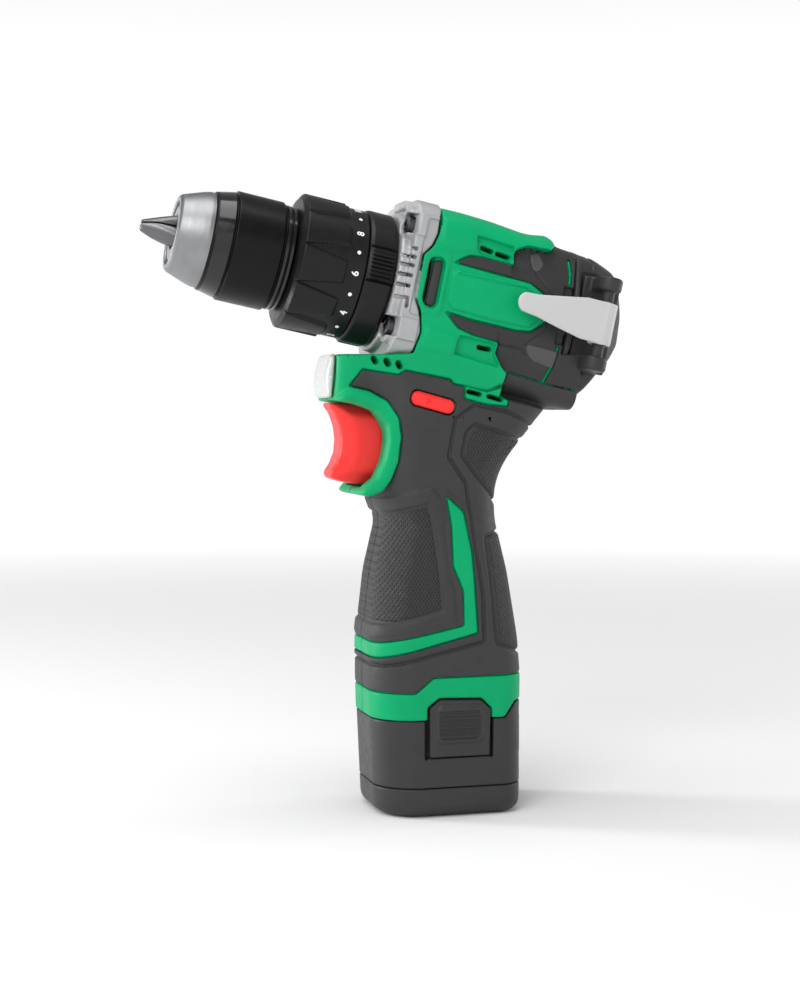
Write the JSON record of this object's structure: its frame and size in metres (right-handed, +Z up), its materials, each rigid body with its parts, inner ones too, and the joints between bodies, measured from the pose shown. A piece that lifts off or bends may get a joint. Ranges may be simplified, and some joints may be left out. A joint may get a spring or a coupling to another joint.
{
  "type": "cordless drill",
  "caption": "Compact cordless drill: keyless chuck, torque and mode collars, trigger, direction slide, belt hook, pistol grip and a push-in battery with side latches.",
  "frame": {"origin": "centre of the battery's flat base, on the surface the drill stands on", "axes": "+Z up, -Y towards the chuck, +X to the user's left; the drill axis tilts 12 degrees nose-up in the YZ plane"},
  "size_m": [0.0576, 0.1607, 0.2043],
  "materials": {
    "shell_green": "moulded, satin",
    "grip_rubber": "soft, fine texture",
    "black_plastic": "moulded, fine grain",
    "gearbox_casting": "die-cast, matt",
    "dark_steel": "blackened",
    "bright_steel": "ground",
    "chuck_steel": "satin blasted",
    "jaw_steel": "hardened, satin",
    "sleeve_black": "gloss",
    "button_red": "satin gloss",
    "hook_steel": "light grey, matt",
    "lens_clear": "frosted",
    "circuit_board": "solder mask",
    "cell_wrap": "shrink-wrapped steel can",
    "contact_brass": "plated"
  },
  "bodies": {
    "housing": {"left_housing_shell": "shell_green", "right_housing_shell": "shell_green", "left_grip_overmold": "grip_rubber", "right_grip_overmold": "grip_rubber", "rear_cap": "black_plastic", "hook_mount": "black_plastic", "gearbox_housing": "gearbox_casting", "gearbox_screw_1": "dark_steel", "gearbox_screw_2": "dark_steel", "gearbox_screw_3": "dark_steel", "gearbox_screw_4": "dark_steel", "clutch_spring": "bright_steel", "spindle_bearing": "bright_steel", "ratchet_fixed": "dark_steel", "ring_gear_1": "bright_steel", "ring_gear_2": "bright_steel", "motor_stator": "dark_steel", "motor_front_plate": "black_plastic", "rear_bearing": "bright_steel", "switch_module": "black_plastic", "trigger_spring": "bright_steel", "control_board": "circuit_board", "terminal_block": "black_plastic", "led_lens": "lens_clear", "led_board": "circuit_board"},
    "spindle": {"spindle": "dark_steel", "ratchet_turning": "dark_steel", "chuck_body": "chuck_steel", "chuck_screw": "dark_steel"},
    "chuck_sleeve": {"chuck_sleeve": "sleeve_black", "jaw_nut": "dark_steel"},
    "jaw_1": {"jaw_1": "jaw_steel"},
    "jaw_2": {"jaw_2": "jaw_steel"},
    "jaw_3": {"jaw_3": "jaw_steel"},
    "torque_collar": {"torque_collar": "black_plastic"},
    "mode_collar": {"mode_collar": "black_plastic"},
    "carrier_1": {"carrier_1": "dark_steel"},
    "motor_rotor": {"motor_rotor": "bright_steel"},
    "planet_1_1": {"planet_1_1": "bright_steel"},
    "planet_1_2": {"planet_1_2": "bright_steel"},
    "planet_1_3": {"planet_1_3": "bright_steel"},
    "planet_2_1": {"planet_2_1": "bright_steel"},
    "planet_2_2": {"planet_2_2": "bright_steel"},
    "planet_2_3": {"planet_2_3": "bright_steel"},
    "speed_selector": {"speed_selector": "button_red"},
    "direction_button": {"direction_button": "button_red"},
    "trigger": {"trigger": "button_red"},
    "belt_hook": {"belt_hook": "hook_steel"},
    "battery": {"battery_case": "black_plastic", "battery_base_cap": "black_plastic", "battery_cell_1": "cell_wrap", "battery_cell_2": "cell_wrap", "battery_cell_3": "cell_wrap", "battery_contacts": "contact_brass"},
    "latch_left": {"latch_left": "black_plastic"},
    "latch_right": {"latch_right": "black_plastic"}
  },
  "joints": [
    {"name": "spindle_turn", "type": "hinge", "parent": "housing", "child": "spindle", "pos_m": [0, 0, 0.1715], "axis": [0, -0.9781, 0.2079], "continuous": true},
    {"name": "sleeve_turn", "type": "hinge", "parent": "spindle", "child": "chuck_sleeve", "pos_m": [0, 0, 0.1715], "axis": [0, -0.9781, 0.2079], "range_deg": [0, 3600]},
    {"name": "jaw_slide_1", "type": "slide", "parent": "spindle", "child": "jaw_1", "axis": [0, 0.9986, 0.0523], "range_m": [0, 0.01932]},
    {"name": "jaw_slide_2", "type": "slide", "parent": "spindle", "child": "jaw_2", "axis": [0.2241, 0.9179, -0.3274], "range_m": [0, 0.01932]},
    {"name": "jaw_slide_3", "type": "slide", "parent": "spindle", "child": "jaw_3", "axis": [-0.2241, 0.9179, -0.3274], "range_m": [0, 0.01932]},
    {"name": "torque_turn", "type": "hinge", "parent": "housing", "child": "torque_collar", "pos_m": [0, 0, 0.1715], "axis": [0, -0.9781, 0.2079], "range_deg": [-150, 150]},
    {"name": "mode_turn", "type": "hinge", "parent": "housing", "child": "mode_collar", "pos_m": [0, 0, 0.1715], "axis": [0, -0.9781, 0.2079], "range_deg": [0, 50]},
    {"name": "carrier_turn", "type": "hinge", "parent": "housing", "child": "carrier_1", "pos_m": [0, 0, 0.1715], "axis": [0, -0.9781, 0.2079], "continuous": true},
    {"name": "motor_turn", "type": "hinge", "parent": "housing", "child": "motor_rotor", "pos_m": [0, 0, 0.1715], "axis": [0, -0.9781, 0.2079], "continuous": true},
    {"name": "planet_1_1_turn", "type": "hinge", "parent": "carrier_1", "child": "planet_1_1", "pos_m": [0, -0.00186, 0.18294], "axis": [0, -0.9781, 0.2079], "continuous": true},
    {"name": "planet_1_2_turn", "type": "hinge", "parent": "carrier_1", "child": "planet_1_2", "pos_m": [0.00935, -0.00523, 0.16709], "axis": [0, -0.9781, 0.2079], "continuous": true},
    {"name": "planet_1_3_turn", "type": "hinge", "parent": "carrier_1", "child": "planet_1_3", "pos_m": [-0.00935, -0.00523, 0.16709], "axis": [0, -0.9781, 0.2079], "continuous": true},
    {"name": "planet_2_1_turn", "type": "hinge", "parent": "spindle", "child": "planet_2_1", "pos_m": [0, -0.01067, 0.18481], "axis": [0, -0.9781, 0.2079], "continuous": true},
    {"name": "planet_2_2_turn", "type": "hinge", "parent": "spindle", "child": "planet_2_2", "pos_m": [0.00935, -0.01403, 0.16896], "axis": [0, -0.9781, 0.2079], "continuous": true},
    {"name": "planet_2_3_turn", "type": "hinge", "parent": "spindle", "child": "planet_2_3", "pos_m": [-0.00935, -0.01403, 0.16896], "axis": [0, -0.9781, 0.2079], "continuous": true},
    {"name": "speed_slide", "type": "slide", "parent": "housing", "child": "speed_selector", "axis": [0, 0.9781, -0.2079], "range_m": [0, 0.0055]},
    {"name": "direction_slide", "type": "slide", "parent": "housing", "child": "direction_button", "axis": [1, 0, 0], "range_m": [-0.003, 0.003]},
    {"name": "trigger_pull", "type": "slide", "parent": "housing", "child": "trigger", "axis": [0, 1, 0], "range_m": [0, 0.007], "stiffness_N_per_m": 600, "springref_m": -0.003, "deforming": ["trigger_spring"]},
    {"name": "hook_swing", "type": "hinge", "parent": "housing", "child": "belt_hook", "pos_m": [0.0284, 0.04754, 0.1614], "axis": [0, 0.2079, 0.9781], "range_deg": [0, 160]},
    {"name": "battery_slide", "type": "slide", "parent": "housing", "child": "battery", "axis": [0, 0, -1], "range_m": [0, 0.11]},
    {"name": "latch_left_press", "type": "slide", "parent": "battery", "child": "latch_left", "axis": [-1, 0, 0], "range_m": [0, 0.002], "stiffness_N_per_m": 1500, "springref_m": -0.001},
    {"name": "latch_right_press", "type": "slide", "parent": "battery", "child": "latch_right", "axis": [1, 0, 0], "range_m": [0, 0.002], "stiffness_N_per_m": 1500, "springref_m": -0.001}
  ],
  "couplings": [
    {"joint": "jaw_slide_1", "follows": "sleeve_turn", "m_per_rad": 0.00030746},
    {"joint": "jaw_slide_2", "follows": "sleeve_turn", "m_per_rad": 0.00030746},
    {"joint": "jaw_slide_3", "follows": "sleeve_turn", "m_per_rad": 0.00030746},
    {"joint": "carrier_turn", "follows": "spindle_turn", "ratio": 4.5},
    {"joint": "motor_turn", "follows": "spindle_turn", "ratio": 20.25},
    {"joint": "planet_1_1_turn", "follows": "spindle_turn", "ratio": -12.6},
    {"joint": "planet_1_2_turn", "follows": "spindle_turn", "ratio": -12.6},
    {"joint": "planet_1_3_turn", "follows": "spindle_turn", "ratio": -12.6},
    {"joint": "planet_2_1_turn", "follows": "spindle_turn", "ratio": -2.8},
    {"joint": "planet_2_2_turn", "follows": "spindle_turn", "ratio": -2.8},
    {"joint": "planet_2_3_turn", "follows": "spindle_turn", "ratio": -2.8}
  ]
}
